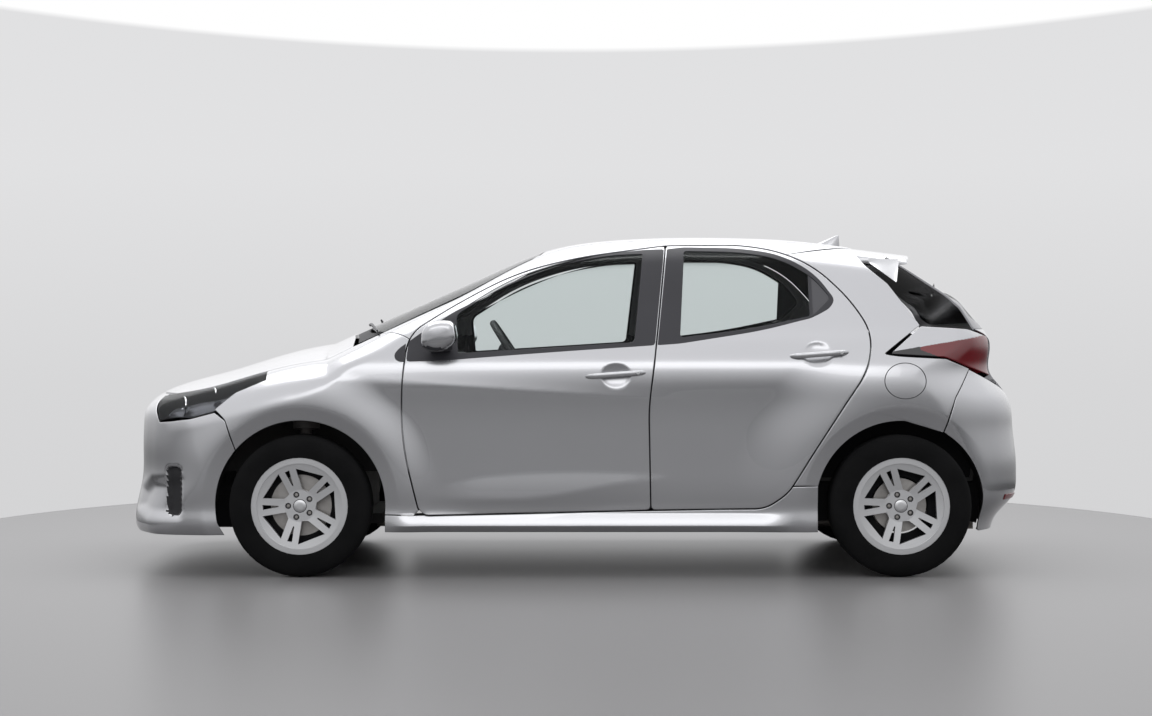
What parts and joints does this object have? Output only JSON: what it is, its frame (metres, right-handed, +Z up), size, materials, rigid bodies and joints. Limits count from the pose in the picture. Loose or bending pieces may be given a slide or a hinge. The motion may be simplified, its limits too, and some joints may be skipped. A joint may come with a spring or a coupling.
{
  "type": "hatchback car",
  "caption": "Five-door silver hatchback car with opening doors, hood and tailgate, steered front wheels and free-turning wheels.",
  "frame": {"origin": "on the ground under the middle of the car, at the bottom centre of its bounding box", "axes": "+X towards the tail, +Y to the car's right side, +Z up"},
  "size_m": [3.938, 1.9528, 1.4967],
  "materials": {
    "painted_silver": "silver metallic paint with clear coat",
    "clear_glass": "clear car glass with a slight green tint",
    "headlamp": "clear lens over bright reflectors",
    "tail_lamp": "red and clear lens",
    "black_plastic": "grained black plastic",
    "underbody": "satin black underbody coating",
    "cast_metal": "rough cast metal",
    "bare_steel": "dull steel",
    "seat_cloth": "dark woven cloth",
    "tyre": "black rubber",
    "alloy": "silver painted alloy"
  },
  "bodies": {
    "body": {"side_frame_left": "painted_silver", "side_frame_right": "painted_silver", "roof_panel": "painted_silver", "windscreen": "clear_glass", "front_fenders": "painted_silver", "front_bumper": "painted_silver", "rear_bumper": "painted_silver", "headlamps": "headlamp", "tail_lamps": "tail_lamp", "cowl_panel": "black_plastic", "floor_pan": "underbody", "arch_liners": "black_plastic", "engine_block": "cast_metal", "front_structure": "underbody", "front_subframe": "underbody", "rear_axle_beam": "underbody", "fuel_tank": "black_plastic", "exhaust": "bare_steel", "dashboard": "black_plastic", "front_seats": "seat_cloth", "rear_seat": "seat_cloth"},
    "door_front_left": {"door_front_left": "painted_silver", "glass_front_left": "clear_glass", "mirror_left": "painted_silver"},
    "door_front_right": {"door_front_right": "painted_silver", "glass_front_right": "clear_glass", "mirror_right": "painted_silver"},
    "door_rear_left": {"door_rear_left": "painted_silver", "glass_rear_left": "clear_glass"},
    "door_rear_right": {"door_rear_right": "painted_silver", "glass_rear_right": "clear_glass"},
    "hood": {"hood": "painted_silver"},
    "tailgate": {"tailgate": "painted_silver", "tailgate_glass": "clear_glass"},
    "knuckle_left": {"knuckle_left": "cast_metal"},
    "knuckle_right": {"knuckle_right": "cast_metal"},
    "wheel_front_left": {"tyre_front_left": "tyre", "rim_front_left": "alloy"},
    "wheel_front_right": {"tyre_front_right": "tyre", "rim_front_right": "alloy"},
    "wheel_rear_left": {"tyre_rear_left": "tyre", "rim_rear_left": "alloy"},
    "wheel_rear_right": {"tyre_rear_right": "tyre", "rim_rear_right": "alloy"},
    "steering_wheel": {"steering_wheel": "black_plastic"}
  },
  "joints": [
    {"name": "door_front_left_hinge", "type": "hinge", "parent": "body", "child": "door_front_left", "pos_m": [-0.748, -0.846, 0.6], "axis": [0, 0, -1], "range_deg": [0, 65]},
    {"name": "door_front_right_hinge", "type": "hinge", "parent": "body", "child": "door_front_right", "pos_m": [-0.748, 0.846, 0.6], "axis": [0, 0, 1], "range_deg": [0, 65]},
    {"name": "door_rear_left_hinge", "type": "hinge", "parent": "body", "child": "door_rear_left", "pos_m": [0.309, -0.8495, 0.6], "axis": [0, 0, -1], "range_deg": [0, 65]},
    {"name": "door_rear_right_hinge", "type": "hinge", "parent": "body", "child": "door_rear_right", "pos_m": [0.309, 0.8495, 0.6], "axis": [0, 0, 1], "range_deg": [0, 65]},
    {"name": "hood_hinge", "type": "hinge", "parent": "body", "child": "hood", "pos_m": [-0.945, 0, 1.012], "axis": [0, 1, 0], "range_deg": [0, 50]},
    {"name": "tailgate_hinge", "type": "hinge", "parent": "body", "child": "tailgate", "pos_m": [1.222, 0, 1.44], "axis": [0, -1, 0], "range_deg": [0, 75]},
    {"name": "steer_left", "type": "hinge", "parent": "body", "child": "knuckle_left", "pos_m": [-1.176, -0.705, 0.19], "axis": [0, 0.1853, 0.9827], "range_deg": [-33, 33]},
    {"name": "steer_right", "type": "hinge", "parent": "body", "child": "knuckle_right", "pos_m": [-1.176, 0.705, 0.19], "axis": [0, -0.1853, 0.9827], "range_deg": [-33, 33]},
    {"name": "wheel_front_left_spin", "type": "hinge", "parent": "knuckle_left", "child": "wheel_front_left", "pos_m": [-1.176, -0.765, 0.302], "axis": [0, 1, 0], "continuous": true},
    {"name": "wheel_front_right_spin", "type": "hinge", "parent": "knuckle_right", "child": "wheel_front_right", "pos_m": [-1.176, 0.765, 0.302], "axis": [0, 1, 0], "continuous": true},
    {"name": "wheel_rear_left_spin", "type": "hinge", "parent": "body", "child": "wheel_rear_left", "pos_m": [1.384, -0.765, 0.302], "axis": [0, 1, 0], "continuous": true},
    {"name": "wheel_rear_right_spin", "type": "hinge", "parent": "body", "child": "wheel_rear_right", "pos_m": [1.384, 0.765, 0.302], "axis": [0, 1, 0], "continuous": true},
    {"name": "steering_wheel_turn", "type": "hinge", "parent": "body", "child": "steering_wheel", "pos_m": [-0.277, -0.37, 0.94], "axis": [0.8387, 0, 0.5446], "range_deg": [-528, 528]}
  ],
  "couplings": [
    {"joint": "steer_right", "follows": "steer_left", "ratio": 1},
    {"joint": "steering_wheel_turn", "follows": "steer_left", "ratio": 16}
  ]
}
